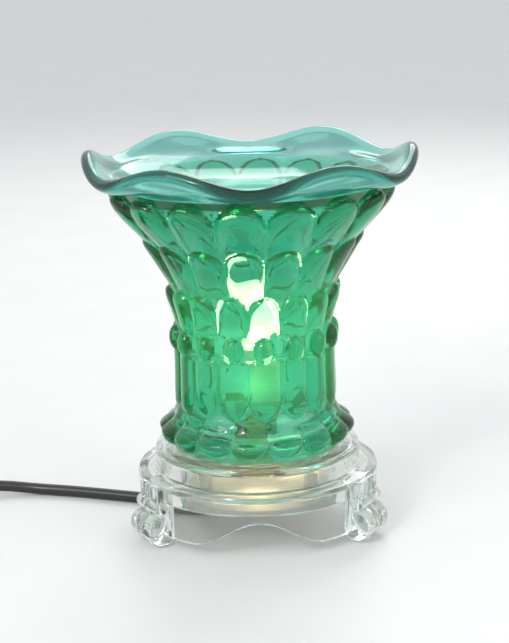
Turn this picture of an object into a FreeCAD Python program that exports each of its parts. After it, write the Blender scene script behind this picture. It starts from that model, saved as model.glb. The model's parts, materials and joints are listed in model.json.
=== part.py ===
import FreeCAD, Part
import Sketcher
import math
import os
import re

# An electric wax warmer: a ruffled glass dish rests in the mouth of a pressed-glass shade, which stands
# on a clear tripod base. The lamp inside the shade warms the dish. Millimetres, +Z up, the table at
# height zero, the front towards -Y, and the lamp's axis through the origin.

SIZES = {
    # clearances
    "seat_gap": 0.3, "slip_gap": 0.15, "running_gap": 0.06, "overrun": 2.0,
    # base: two round tiers on three scroll feet, with a wiring chamber in the middle
    "pad_thick": 1.0, "pad_radius": 4.5, "tier_step": 8.0, "tier_low": 20.5, "tier_high": 28.5,
    "deck_radius": 46.0, "deck_high": 38.0, "deck_wall": 3.5, "rim_wall": 3.5, "edge_round": 1.2,
    "chamber_radius": 36.0, "chamber_wall": 3.0, "chamber_low": 15.0, "ridge_radius": 32.4,
    "ridge_wall": 2.0, "ridge_tall": 2.6, "leg_width": 17.0, "leg_deep": 7.0, "leg_out": 3.0,
    "foot_round": 7.0, "foot_width": 20.0, "knee_out": 0.6, "knee_round": 3.2,
    "knee_high": 18.0, "apron_wall": 3.0, "apron_low": 4.6, "arch_half": 30.0, "arch_high": 16.0,
    "boss_radius": 3.4, "boss_reach": 27.0,
    # cover under the chamber, with its screws and the cord's grommet
    "cover_thick": 2.5, "cover_screw": 1.5, "cover_screw_long": 9.0, "screw_head": 2.9,
    "screw_head_tall": 1.6, "cord_reach": 22.0, "grommet_radius": 4.2, "grommet_flange": 5.6,
    "grommet_flange_thick": 1.4,
    # threaded tube, its nuts and washers
    "tube_radius": 4.9, "tube_bore": 3.7, "tube_low": 29.0, "tube_high": 49.5, "nut_flats": 14.0,
    "nut_thick": 3.6, "washer_radius": 8.5, "washer_thick": 1.0,
    # bracket and lamp-holder
    "bracket_thick": 1.2, "bracket_deep": 13.0, "bracket_inside": 17.2, "flange_reach": 3.3,
    "holder_low": 58.0, "holder_high": 80.0, "holder_radius": 7.8, "holder_neck": 7.4,
    "holder_neck_tall": 2.2, "holder_slot_wide": 12.4, "holder_slot_deep": 5.2,
    "holder_slot_floor": 75.0, "pin_reach": 3.3, "pin_well": 1.75, "pin_well_low": 64.0,
    "holder_screw": 1.3, "holder_screw_head": 2.0, "holder_screw_reach": 5.4, "holder_screw_long": 4.0,
    "contact_wall": 0.5, "contact_wide": 2.2, "contact_low": 64.6, "contact_high": 72.0,
    # bulb
    "bulb_radius": 6.8, "bulb_wall": 0.9, "bulb_low": 87.0, "bulb_high": 118.0, "pinch_wide": 11.8,
    "pinch_thick": 4.6, "pinch_high": 90.0, "bulb_seat": 75.4, "tip_radius": 1.2, "tip_tall": 1.6,
    "pin_wire": 0.9, "pin_loop": 1.5, "pin_low": 67.0, "pin_grip": 3.0, "filament_wire": 0.9,
    "filament_high": 109.0, "filament_half": 2.6,
    # wiring inside the chamber
    "lead_wire": 1.9, "lead_reach": 2.2, "splice_high": 25.0, "splice_radius": 1.6, "splice_side": 2.4,
    "splice_near": 8.4, "splice_far": 15.6, "core_low": 19.3, "core_reach": 1.3,
    # shade
    "shade_top": 157.0, "mouth_radius": 61.8, "waist_radius": 34.1, "waist_high": 63.0,
    "shade_foot_radius": 41.0, "shade_sole_radius": 37.6, "shade_wall": 4.4, "column_count": 16,
    "rib_high_top": 155.0, "rib_high_low": 129.0, "rib_high_relief": 7.6, "rib_high_round": 11.5,
    "rib_mid_top": 134.4, "rib_mid_low": 109.0, "rib_mid_relief": 5.2, "rib_mid_round": 10.0,
    "rib_low_top": 111.8, "rib_low_low": 92.0, "rib_low_relief": 4.4, "rib_low_round": 8.5,
    "bead_mid": 87.8, "bead_half_tall": 6.0, "bead_half_wide": 4.6, "bead_relief": 4.0,
    "flute_top": 84.0, "flute_low": 57.0, "flute_relief": 2.1, "flute_round": 8.0,
    "toe_top": 58.0, "toe_low": 40.5, "toe_relief": 4.8, "toe_round": 8.0,
    # dish
    "ruffle_count": 6, "dish_floor_radius": 22.0, "dish_floor_mid": 149.2, "dish_wall": 3.6,
    "dish_overhang": 8.9, "dish_lip_high": 165.1, "dish_lip_round": 2.8, "ruffle_tall": 3.6,
    # cord
    "cord_width": 5.2, "cord_lift": 0.05, "cord_a_x": -36.0, "cord_a_y": 18.0, "cord_b_x": -61.0,
    "cord_b_y": 27.4, "cord_c_x": -87.0, "cord_c_y": 36.8, "cord_d_x": -106.0, "cord_e_x": -126.0,
    "link_a_x": -238.0, "link_b_x": -253.5, "link_b_y": 24.0, "link_c_y": 8.0,
    "coil_lift": 1.3, "layer_gap": 0.5, "coil_outer": 39.5, "coil_step": 6.4,
    "coil_x": -212.0, "coil_y": -20.0, "tie_thick": 0.9, "tie_wide": 9.0,
    # dimmer on the cord
    "dimmer_x": -180.0, "dimmer_y": 42.0, "dimmer_long": 52.0, "dimmer_wide": 25.0,
    "dimmer_tall": 19.0, "dimmer_wall": 2.0, "dimmer_split": 10.0, "sleeve_high": 5.2, "sleeve_long": 20.0,
    "sleeve_radius": 4.6, "sleeve_tip": 3.4, "sleeve_neck": 3.7, "sleeve_grip": 8.0,
    "shell_corner": 4.0, "shell_round": 1.5, "wheel_radius": 10.5, "wheel_thick": 4.0, "wheel_off": 5.0,
    "wheel_low": 12.0, "shaft_radius": 2.4, "board_thick": 1.6, "board_low": 5.0, "board_long": 34.0,
    "board_wide": 18.0, "pot_radius": 5.3, "pot_tall": 3.6, "dimmer_screw": 1.3,
    "dimmer_screw_reach": 20.5, "dimmer_screw_side": 8.0, "dimmer_boss": 2.6, "dimmer_screw_long": 15.0,
    # plug
    "plug_wide": 22.0, "plug_long": 26.0, "plug_corner": 5.0, "plug_round": 2.5,
    "grip_deep": 0.8, "grip_wide": 1.4, "plug_sleeve_long": 22.0, "plug_sleeve_radius": 5.2, "blade_long": 17.5, "blade_thick": 1.5, "blade_tall": 6.4,
    "blade_reach": 6.35,
}
DERIVED = {
    "tier_radius": "deck_radius + tier_step", "leg_inner": "tier_radius - leg_deep",
    "leg_outer": "tier_radius + leg_out", "foot_reach": "tier_radius",
    "knee_reach": "tier_radius + knee_out", "dish_lip_radius": "mouth_radius + dish_overhang",
}
LEGS = 3

doc = FreeCAD.newDocument("wax_warmer")
sheet = doc.addObject("Spreadsheet::Sheet", "Sizes")
for row, (alias, value) in enumerate(SIZES.items(), 1):
    sheet.set(f"A{row}", alias)
    sheet.set(f"B{row}", str(value))
    sheet.setAlias(f"B{row}", alias)
for row, (alias, text) in enumerate(DERIVED.items(), len(SIZES) + 1):
    sheet.set(f"A{row}", alias)
    sheet.set(f"B{row}", f"={text}")
    sheet.setAlias(f"B{row}", alias)
doc.recompute()

V = FreeCAD.Vector
ACROSS, BACK, UP = V(1, 0, 0), V(0, 1, 0), V(0, 0, 1)


def formula(text):
    """A formula in the sheet's names, as the other objects read it."""
    return re.sub(r"\b([a-z]\w*)\b(?!\()", r"Sizes.\1", str(text))


def size(text):
    """What a formula in the sheet's names comes to."""
    return float(sheet.evalExpression(str(text)))


def bind(item, **formulas):
    for name, text in formulas.items():
        item.setExpression(name, formula(text))
    return item


def place(item, x="0", y="0", z="0", turn=None):
    """Puts an item where three formulas say, turned about an axis by an angle."""
    if turn:
        item.Placement = FreeCAD.Placement(V(), FreeCAD.Rotation(*turn))
    for axis, text in zip("xyz", (x, y, z)):
        item.setExpression(f"Placement.Base.{axis}", formula(text))
    return item


def cylinder(name, radius, tall, x="0", y="0", z="0", turn=None):
    item = bind(doc.addObject("Part::Cylinder", name), Radius=radius, Height=tall)
    return place(item, x, y, z, turn)


def cone(name, low, high, tall, x="0", y="0", z="0", turn=None):
    item = bind(doc.addObject("Part::Cone", name), Radius1=low, Radius2=high, Height=tall)
    return place(item, x, y, z, turn)


def ball(name, radius, x="0", y="0", z="0"):
    return place(bind(doc.addObject("Part::Sphere", name), Radius=radius), x, y, z)


def box(name, wide, deep, tall, x="0", y="0", z="0"):
    """A box centred on x and y that stands on z."""
    item = bind(doc.addObject("Part::Box", name), Length=wide, Width=deep, Height=tall)
    return place(item, f"{x} - ({wide}) / 2", f"{y} - ({deep}) / 2", z)


def eased(name, block, upright, level, kept=None):
    """A block with rounded edges, the upright ones by their own radius, but for those at one height."""
    doc.recompute()
    whole = doc.addObject("Part::Fillet", name)
    whole.Base = block
    touch, rounded = size("overrun"), []
    for i, edge in enumerate(block.Shape.Edges, 1):
        low, high = edge.BoundBox.ZMin, edge.BoundBox.ZMax
        if high - low > touch:
            rounded.append((i, size(upright), size(upright)))
        elif kept is None or abs(low - size(kept)) > touch:
            rounded.append((i, size(level), size(level)))
    whole.Edges = rounded
    return whole


def hexagon(name, flats, tall, z):
    item = doc.addObject("Part::Prism", name)
    item.Polygon = 6
    bind(item, Circumradius=f"({flats}) / cos(30)", Height=tall)
    return place(item, z=z)


def joined(name, *items):
    whole = doc.addObject("Part::MultiFuse", name)
    whole.Shapes = list(items)
    return whole


def less(name, base, *tools):
    whole = doc.addObject("Part::Cut", name)
    whole.Base = base
    whole.Tool = tools[0] if len(tools) == 1 else joined(f"{name}_tools", *tools)
    return whole


def group(name, *items):
    """Separate solids that share one node."""
    whole = doc.addObject("Part::Compound", name)
    whole.Links = list(items)
    return whole


def ring_of(name, make, count, reach, first=0):
    """Copies spaced evenly round the lamp's axis, each made at its own place."""
    items = []
    for i in range(count):
        turn = first + 360 * i / count
        items.append(make(f"{name}_{i}", f"({reach}) * sin({turn})", f"-({reach}) * cos({turn})"))
    return items


def plane(body, role):
    return next(f for f in body.Origin.OriginFeatures if f.Role == role)


def outline(body, name, role, points):
    """A closed sketch of straight lines whose corners are formulas in the sheet's names."""
    sketch = body.newObject("Sketcher::SketchObject", name)
    sketch.AttachmentSupport = [(plane(body, role), "")]
    sketch.MapMode = "FlatFace"
    corners = [V(size(x), size(y), 0) for x, y in points]
    for start, end in zip(corners, corners[1:] + corners[:1]):
        sketch.addGeometry(Part.LineSegment(start, end), False)
    for i in range(len(corners)):
        sketch.addConstraint(Sketcher.Constraint("Coincident", i, 2, (i + 1) % len(corners), 1))
    for i, (corner, (x, y)) in enumerate(zip(corners, points)):
        for kind, at, text in (("DistanceX", corner.x, x), ("DistanceY", corner.y, y)):
            index = sketch.addConstraint(Sketcher.Constraint(kind, -1, 1, i, 1, at))
            sketch.setExpression(f"Constraints[{index}]", formula(text))
    return sketch


def revolved(body, name, points):
    """A solid turned about the lamp's axis from an outline of radius and height."""
    sketch = outline(body, f"{name}_outline", "XZ_Plane", points)
    feature = body.newObject("PartDesign::Revolution", name)
    feature.Profile = sketch
    feature.ReferenceAxis = (sketch, ["V_Axis"])
    feature.Angle = 360
    return feature


def extruded(body, name, role, points, width):
    """An outline given a width, half to each side of its plane."""
    sketch = outline(body, f"{name}_outline", role, points)
    feature = body.newObject("PartDesign::Pad", name)
    feature.Profile = sketch
    feature.SideType = "Symmetric"
    return bind(feature, Length=width)


def shaped(name, shape):
    item = doc.addObject("Part::Feature", name)
    item.Shape = shape
    return item


def bent_path(points):
    """Straight runs joined by tangent arcs, each as large as its two runs allow, and the arcs' radii."""
    bend_share = 0.45
    edges, radii, at = [], [], points[0]
    for before, corner, after in zip(points, points[1:], points[2:]):
        back, ahead = before - corner, after - corner
        reach = bend_share * min(back.Length, ahead.Length)
        back.normalize()
        ahead.normalize()
        half_turn = (math.pi - back.getAngle(ahead)) / 2
        radius = reach / math.tan(half_turn)
        middle = (back + ahead).normalize()
        nearest = corner + middle * (radius / math.cos(half_turn) - radius)
        start, end = corner + back * reach, corner + ahead * reach
        edges += [Part.LineSegment(at, start).toShape(), Part.Arc(start, nearest, end).toShape()]
        radii.append(radius)
        at = end
    edges.append(Part.LineSegment(at, points[-1]).toShape())
    return Part.Wire(edges), radii


def along(path, width):
    """A round solid of this width along a path."""
    first = path.OrderedEdges[0]
    start, heading = first.valueAt(first.FirstParameter), first.tangentAt(first.FirstParameter)
    section = Part.Wire(Part.makeCircle(width / 2, start, heading))
    return path.makePipeShell([section], True, False)


def report_tube(name, path, solid, width, radii=()):
    section = math.pi * width ** 2 / 4
    print(f"{name}: length {path.Length:.1f}, volume over section {solid.Volume / section:.1f}",
          f"radii {' '.join(f'{r:.1f}' for r in radii)}")


def smooth_line(stations, at):
    """Height and radius stations joined by a smooth line without overshoot."""
    if at <= stations[0][0]:
        return stations[0][1]
    if at >= stations[-1][0]:
        return stations[-1][1]
    slopes = [(b[1] - a[1]) / (b[0] - a[0]) for a, b in zip(stations, stations[1:])]
    tangents = [slopes[0]]
    for one, other in zip(slopes, slopes[1:]):
        tangents.append(0 if one * other <= 0 else 2 * one * other / (one + other))
    tangents.append(slopes[-1])
    for i, (a, b) in enumerate(zip(stations, stations[1:])):
        if at <= b[0]:
            span = b[0] - a[0]
            u = (at - a[0]) / span
            return (
                (1 + 2 * u) * (1 - u) ** 2 * a[1] + u * (1 - u) ** 2 * span * tangents[i]
                + u ** 2 * (3 - 2 * u) * b[1] + u ** 2 * (u - 1) * span * tangents[i + 1]
            )


def clamped(count, degree=3):
    """Knots and their multiplicities for a smooth line that starts and ends at its outer points."""
    inner = count - degree - 1
    return list(range(inner + 2)), [degree + 1] + [1] * inner + [degree + 1]


def skin(rows_of_points):
    """A smooth face that follows a grid of points without overshoot."""
    knots_u, counts_u = clamped(len(rows_of_points))
    knots_v, counts_v = clamped(len(rows_of_points[0]))
    surface = Part.BSplineSurface()
    surface.buildFromPolesMultsKnots(
        rows_of_points, counts_u, counts_v, knots_u, knots_v, False, False, 3, 3)
    return surface.toShape()


def closed_solid(name, faces):
    """One solid from faces that meet edge to edge."""
    sewn = Part.makeCompound(faces)
    sewn.sewShape(size("seat_gap") / 100)
    solid = Part.makeSolid(sewn.Shells[0] if sewn.Shells else Part.makeShell(sewn.Faces))
    if solid.Volume < 0:
        solid.reverse()
    print(name, "faces", len(solid.Faces), "closed", solid.isClosed(), "valid", solid.isValid())
    return solid


# Base: the tiers, legs, foot scrolls and bosses are one clear moulding, whose apron is cut to arches.


def make_base():
    body = doc.addObject("PartDesign::Body", "tiers_and_legs")
    inside, wall, skirt = "deck_high - deck_wall", "deck_radius - rim_wall", "tier_radius - edge_round"
    revolved(body, "tiers", [
        ("tube_radius + slip_gap", inside), ("tube_radius + slip_gap", "deck_high"),
        ("ridge_radius - ridge_wall", "deck_high"), ("ridge_radius - ridge_wall", "deck_high + ridge_tall"),
        ("ridge_radius", "deck_high + ridge_tall"), ("ridge_radius", "deck_high"),
        ("deck_radius - edge_round", "deck_high"), ("deck_radius", "deck_high - edge_round"),
        ("deck_radius", "tier_high"), ("tier_radius - edge_round", "tier_high"),
        ("tier_radius", "tier_high - edge_round"), ("tier_radius", "tier_low"), (skirt, "tier_low"),
        (skirt, "apron_low"), (f"{skirt} - apron_wall", "apron_low"),
        (f"{skirt} - apron_wall", "tier_high - deck_wall"), (wall, "tier_high - deck_wall"),
        (wall, inside), ("chamber_radius", inside), ("chamber_radius", "chamber_low"),
        ("chamber_radius - chamber_wall", "chamber_low"), ("chamber_radius - chamber_wall", inside),
    ])
    leg = extruded(body, "leg", "YZ_Plane", [
        ("leg_inner", "pad_thick"), ("foot_reach", "pad_thick"), ("leg_outer", "pad_thick + foot_round"),
        ("leg_outer - edge_round", "knee_high"), ("tier_radius", "tier_high - 2 * edge_round"),
        ("leg_inner", "tier_high - 2 * edge_round"),
    ], "leg_width")
    doc.recompute()
    legs = body.newObject("PartDesign::PolarPattern", "legs")
    legs.Originals = [leg]
    legs.Axis = (plane(body, "Z_Axis"), [""])
    legs.Angle = 360
    legs.Occurrences = LEGS
    body.Tip = legs

    scrolls = []
    for i in range(LEGS):
        turn = 180 + 360 * i / LEGS
        scrolls += [
            scroll(f"foot_scroll_{i}", turn, "foot_reach", "pad_thick + foot_round", "foot_round",
                   "foot_width"),
            scroll(f"knee_scroll_{i}", turn, "knee_reach", "knee_high", "knee_round", "foot_width"),
        ]
    bosses = ring_of("boss", make_boss, LEGS, "boss_reach", first=60)
    pilots = ring_of("pilot", make_pilot, LEGS, "boss_reach", first=60)
    arches = [shaped(f"arch_{i}", arch_cutter(360 * i / LEGS)) for i in range(LEGS)]
    whole = joined("base_blank", body, *scrolls, *bosses)
    return less("base", whole, *pilots, *arches)


def scroll(name, turn, reach, high, radius, width):
    """A round roll that lies across a leg."""
    item = bind(doc.addObject("Part::Cylinder", name), Radius=radius, Height=width)
    item.Placement = FreeCAD.Placement(V(), FreeCAD.Rotation(UP, turn).multiply(FreeCAD.Rotation(BACK, 90)))
    return place(
        item, f"({reach}) * sin({turn}) - ({width}) / 2 * cos({turn})",
        f"-({reach}) * cos({turn}) - ({width}) / 2 * sin({turn})", high,
    )


def make_boss(name, x, y):
    return cylinder(name, "boss_radius", "deck_high - deck_wall - chamber_low - cover_thick + slip_gap",
                    x, y, "chamber_low + cover_thick")


def make_pilot(name, x, y):
    return cylinder(name, "cover_screw", "cover_screw_long + slip_gap", x, y, "chamber_low + screw_head_tall")


def arch_cutter(turn):
    """The opening under one side's apron: a low arch whose edge swings up and down in four arcs."""
    half, low, high = size("arch_half"), size("apron_low"), size("arch_high")
    floor = -size("overrun")
    middle = V(half / 2, 0, (low + high) / 2)
    chord = math.hypot(half / 2, (high - low) / 2)
    radius = chord ** 2 / (high - low)
    sag = radius - math.sqrt(radius ** 2 - chord ** 2 / 4)
    across = V((high - low) / 2, 0, half / 2).normalize() * sag
    top, end = V(0, 0, high), V(half, 0, low)
    other = [V(-p.x, 0, p.z) for p in (end, middle)]
    upper, lower = (top + middle) * 0.5 + across, (middle + end) * 0.5 - across
    mirrored = [V(-p.x, 0, p.z) for p in (lower, upper)]
    low_right, low_left = V(half, 0, floor), V(-half, 0, floor)
    wire = Part.Wire([
        Part.LineSegment(low_left, other[0]).toShape(), Part.Arc(other[0], mirrored[0], other[1]).toShape(),
        Part.Arc(other[1], mirrored[1], top).toShape(), Part.Arc(top, upper, middle).toShape(),
        Part.Arc(middle, lower, end).toShape(), Part.LineSegment(end, low_right).toShape(),
        Part.LineSegment(low_right, low_left).toShape(),
    ])
    solid = Part.Face(wire).extrude(V(0, -size("tier_radius + overrun"), 0))
    solid = solid.cut(Part.makeCylinder(size("chamber_radius + overrun"), high * 2, V(0, 0, floor)))
    solid.rotate(V(), UP, turn)
    return solid


def make_foot_pads():
    def pad(name, x, y):
        return cylinder(name, "pad_radius", "pad_thick", x, y)
    return group("foot_pads", *ring_of("pad", pad, LEGS, "foot_reach - foot_round / 3", first=60))


def make_cover():
    body = doc.addObject("PartDesign::Body", "cover_blank")
    edge = "chamber_radius - chamber_wall - slip_gap"
    revolved(body, "cover_disc", [
        ("0", "chamber_low"), (edge, "chamber_low"), (edge, "chamber_low + cover_thick"),
        ("0", "chamber_low + cover_thick"),
    ])

    def clearance(name, x, y):
        return cylinder(name, "cover_screw + slip_gap", "cover_thick + 2 * overrun", x, y,
                        "chamber_low - overrun")

    def counterbore(name, x, y):
        return cylinder(name, "screw_head + slip_gap", "screw_head_tall + overrun", x, y,
                        "chamber_low - overrun")

    mouth = cylinder("grommet_hole", "grommet_radius", "cover_thick + 2 * overrun",
                     "cord_reach * sin(-120)", "-cord_reach * cos(-120)", "chamber_low - overrun")
    return less("cover_plate", body, mouth, *ring_of("cover_hole", clearance, LEGS, "boss_reach", first=60),
                *ring_of("cover_bore", counterbore, LEGS, "boss_reach", first=60))


def make_cover_screws():
    def screw(name, x, y):
        head = cylinder(f"{name}_head", "screw_head", "screw_head_tall", x, y, "chamber_low")
        shank = cylinder(f"{name}_shank", "cover_screw", "cover_screw_long", x, y,
                         "chamber_low + screw_head_tall")
        return joined(name, head, shank)
    return group("cover_screws", *ring_of("cover_screw", screw, LEGS, "boss_reach", first=60))


def make_grommet():
    x, y = "cord_reach * sin(-120)", "-cord_reach * cos(-120)"
    body = cylinder("grommet_body", "grommet_radius", "cover_thick", x, y, "chamber_low")
    above = cylinder("grommet_above", "grommet_flange", "grommet_flange_thick", x, y,
                     "chamber_low + cover_thick")
    below = cylinder("grommet_below", "grommet_flange", "grommet_flange_thick", x, y,
                     "chamber_low - grommet_flange_thick")
    bore = cylinder("grommet_bore", "cord_width / 2", "cover_thick + 4 * overrun", x, y,
                    "chamber_low - 2 * overrun")
    return less("cord_grommet", joined("grommet_blank", body, above, below), bore)


# Threaded tube, nuts and washer that clamp the lamp's bracket to the base.


def make_tube():
    outside = cylinder("tube_outside", "tube_radius", "tube_high - tube_low", z="tube_low")
    bore = cylinder("tube_inside", "tube_bore", "tube_high - tube_low + 2 * overrun", z="tube_low - overrun")
    return less("threaded_tube", outside, bore)


def make_nuts():
    lows = ("deck_high - deck_wall - nut_thick", "deck_high + washer_thick",
            "deck_high + washer_thick + nut_thick + bracket_thick")
    nuts = []
    for i, low in enumerate(lows):
        blank = hexagon(f"nut_blank_{i}", "nut_flats / 2", "nut_thick", low)
        hole = cylinder(f"nut_hole_{i}", "tube_radius", "nut_thick + 2 * overrun", z=f"{low} - overrun")
        nuts.append(less(f"nut_{i}", blank, hole))
    return group("tube_nuts", *nuts)


def make_washer():
    disc = cylinder("washer_disc", "washer_radius", "washer_thick", z="deck_high")
    hole = cylinder("washer_hole", "tube_radius + slip_gap", "washer_thick + 2 * overrun",
                    z="deck_high - overrun")
    return less("tube_washer", disc, hole)


def make_bracket():
    body = doc.addObject("PartDesign::Body", "bracket_strip")
    low = "deck_high + washer_thick + nut_thick"
    inner, outer = "bracket_inside / 2", "bracket_inside / 2 + bracket_thick"
    top, under = "holder_low", "holder_low - bracket_thick"
    half = [(outer, low), (outer, top), ("flange_reach", top), ("flange_reach", under), (inner, under),
            (inner, f"{low} + bracket_thick")]
    mirrored = [(f"-({x})", y) for x, y in reversed(half)]
    extruded(body, "bracket_bent", "XZ_Plane", half + mirrored, "bracket_deep")
    hole = cylinder("bracket_hole", "tube_radius + slip_gap", "bracket_thick + 2 * overrun",
                    z=f"{low} - overrun")
    screw_holes = [
        cylinder(f"flange_hole_{i}", "holder_screw + slip_gap", "bracket_thick + 2 * overrun",
                 f"{side} * holder_screw_reach", z=f"{under} - overrun")
        for i, side in enumerate((-1, 1))
    ]
    return less("holder_bracket", body, hole, *screw_holes)


def make_holder():
    barrel = cylinder("holder_barrel", "holder_radius", "holder_high - holder_low", z="holder_low")
    neck = cylinder("holder_top", "holder_neck", "holder_neck_tall + overrun", z="holder_high - overrun")
    slot = box("holder_slot", "holder_slot_wide", "holder_slot_deep",
               "holder_high + holder_neck_tall + overrun - holder_slot_floor", z="holder_slot_floor")
    tools = [slot]
    for i, side in enumerate((-1, 1)):
        tools += [
            cylinder(f"pin_well_{i}", "pin_well", "holder_slot_floor + overrun - pin_well_low",
                     f"{side} * pin_reach", z="pin_well_low"),
            cylinder(f"wire_hole_{i}", "lead_wire / 2 + slip_gap", "pin_well_low + 2 * overrun - holder_low",
                     f"{side} * lead_reach", z="holder_low - overrun"),
            cylinder(f"holder_screw_hole_{i}", "holder_screw", "holder_screw_long + overrun",
                     f"{side} * holder_screw_reach", z="holder_low - overrun"),
        ]
    return less("lamp_holder", joined("holder_blank", barrel, neck), *tools)


def make_holder_screws():
    screws = []
    for i, side in enumerate((-1, 1)):
        x = f"{side} * holder_screw_reach"
        head = cylinder(f"holder_screw_head_{i}", "holder_screw_head", "bracket_thick", x,
                        z="holder_low - 2 * bracket_thick")
        shank = cylinder(f"holder_screw_shank_{i}", "holder_screw", "bracket_thick + holder_screw_long", x,
                         z="holder_low - bracket_thick")
        screws.append(joined(f"holder_screw_{i}", head, shank))
    return group("holder_screws", *screws)


def make_contacts():
    """A folded spring strip in each pin well, either side of the bulb's pin."""
    strips = []
    gap = "(pin_wire / 2 + running_gap)"
    for i, side in enumerate((-1, 1)):
        x = f"{side} * pin_reach"
        leaves = [
            box(f"leaf_{i}_{j}", "contact_wide", "contact_wall", "contact_high - contact_low", x,
                f"{other} * ({gap} + contact_wall / 2)", "contact_low")
            for j, other in enumerate((-1, 1))
        ]
        fold = box(f"fold_{i}", "contact_wide", f"2 * {gap} + 2 * contact_wall", "contact_wall", x, "0",
                   "contact_low")
        strips.append(joined(f"contact_{i}", fold, *leaves))
    return group("holder_contacts", *strips)


# Bulb: a bare halogen capsule with two looped pins.


def capsule(name, radius, low, high):
    barrel = cylinder(f"{name}_barrel", radius, f"{high} - {low} - 2 * ({radius})", z=f"{low} + {radius}")
    return joined(name, barrel, ball(f"{name}_low_end", radius, z=f"{low} + {radius}"),
                  ball(f"{name}_high_end", radius, z=f"{high} - ({radius})"))


def make_envelope():
    outside = capsule("bulb_outside", "bulb_radius", "bulb_low", "bulb_high")
    inside = capsule("bulb_inside", "bulb_radius - bulb_wall", "bulb_low + bulb_wall", "bulb_high - bulb_wall")
    pinch = box("bulb_pinch", "pinch_wide", "pinch_thick", "pinch_high - bulb_seat", z="bulb_seat")
    tip = cone("bulb_tip", "tip_radius", "tip_radius / 2", "tip_tall + bulb_wall / 2",
               z="bulb_high - bulb_wall / 2")
    return less("bulb_envelope", joined("bulb_blank", outside, pinch, tip), inside)


def hairpin(x, low, high, half):
    """A path up one side, over a half circle and down the other, or the other way up."""
    turn = half if high > low else -half
    return Part.Wire([
        Part.LineSegment(V(x - half, 0, low), V(x - half, 0, high - turn)).toShape(),
        Part.Arc(V(x - half, 0, high - turn), V(x, 0, high), V(x + half, 0, high - turn)).toShape(),
        Part.LineSegment(V(x + half, 0, high - turn), V(x + half, 0, low)).toShape(),
    ])


def make_filament():
    path = hairpin(0, size("bulb_low + bulb_wall / 2"), size("filament_high"), size("filament_half"))
    return shaped("bulb_filament", along(path, size("filament_wire")))


def make_pins():
    reach, grip = size("pin_reach"), size("bulb_seat + pin_grip")
    loops = [
        shaped(f"pin_{i}", along(hairpin(side * reach, grip, size("pin_low + pin_wire / 2"),
                                         size("pin_loop / 2")), size("pin_wire")))
        for i, side in enumerate((-1, 1))
    ]
    return group("bulb_pins", *loops)


# Wiring between the lamp-holder and the cord.


def splice_frame():
    """The way from the lamp's axis to the cord's exit, and the way across it."""
    out = V(size("sin(-120)"), size("-cos(-120)"), 0)
    return out, UP.cross(out)


def make_leads():
    """Two insulated wires down the threaded tube, each bent out to its splice."""
    out, side_way = splice_frame()
    wires = []
    for i, side in enumerate((-1, 1)):
        start = V(side * size("lead_reach"), 0, size("contact_low"))
        lane = side_way * (size("splice_side") * (-side)) + UP * size("splice_high")
        points = [
            start, V(start.x, 0, size("splice_high")), out * size("splice_near - lead_wire") + lane,
            out * size("splice_near") + lane,
        ]
        path, radii = bent_path(points)
        solid = along(path, size("lead_wire"))
        report_tube(f"lead_{i}", path, solid, size("lead_wire"), radii)
        wires.append(shaped(f"lead_{i}", solid))
    return group("lead_wires", *wires)


def make_splices():
    out, side_way = splice_frame()
    sleeves = []
    for i, side in enumerate((-1, 1)):
        start = out * size("splice_near") + side_way * (size("splice_side") * side) + UP * size("splice_high")
        sleeves.append(shaped(f"splice_{i}", Part.makeCylinder(
            size("splice_radius"), size("splice_far - splice_near"), start, out)))
    return group("wire_splices", *sleeves)


def make_cores():
    """The cord's two cores, stripped and bent over to the splices."""
    out, side_way = splice_frame()
    cores = []
    for i, side in enumerate((-1, 1)):
        foot = out * size("cord_reach") + side_way * (size("core_reach") * side)
        lane = side_way * (size("splice_side") * side) + UP * size("splice_high")
        points = [
            foot + UP * size("core_low"), foot + UP * size("splice_high"),
            out * size("splice_far + lead_wire") + lane, out * size("splice_far") + lane,
        ]
        path, radii = bent_path(points)
        solid = along(path, size("lead_wire"))
        report_tube(f"core_{i}", path, solid, size("lead_wire"), radii)
        cores.append(shaped(f"core_{i}", solid))
    return group("cord_cores", *cores)


# Shade: sixteen columns of pressed glass. Each height has a wall radius, and the ribs, beads, flutes and
# toes stand out from it.


def shade_wall_line():
    waist, mouth, foot = size("waist_radius"), size("mouth_radius"), size("shade_foot_radius")
    low, top, middle = size("deck_high + seat_gap"), size("shade_top"), size("waist_high")
    foot_shares = ((0.34, 1.0), (0.56, 0.3), (0.76, 0.18), (1.0, 0.04))
    flare_shares = ((0.18, 0.0), (0.36, 0.02), (0.52, 0.10), (0.606, 0.21), (0.686, 0.325), (0.76, 0.50),
                    (0.846, 0.69), (0.936, 0.865), (0.98, 0.955), (1.0, 1.0))
    stations = [(low, size("shade_sole_radius"))]
    stations += [(low + (middle - low) * along_share, waist + (foot - waist) * out_share)
                 for along_share, out_share in foot_shares]
    stations += [(middle + (top - middle) * along_share, waist + (mouth - waist) * out_share)
                 for along_share, out_share in flare_shares]
    return stations


def dome(across, along_it, power):
    """A rounded swelling that falls to nothing at a distance of one."""
    return max(0.0, 1 - across ** 2 - along_it ** 2) ** power


def rib_relief(turn, high, head, foot, relief, round_tall):
    """An upright rib that is round at its head and fades towards its foot, at either end."""
    along = (high - foot) / (head - foot)
    if not 0 < along < 1:
        return 0.0
    rounding = max(0.0, 1 - abs(head - high) / round_tall)
    return relief * along * dome(turn / rib_half_share, rounding, rib_round_share)


rib_half_share, rib_round_share, flute_end_share = 0.49, 0.5, 0.2
upper_turn_share, lower_turn_share = -0.22, 0.30


def off_column(turn, shift):
    """How far a turn, counted in columns, is from the nearest column's middle."""
    return (turn - shift + 0.5) % 1 - 0.5


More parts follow.
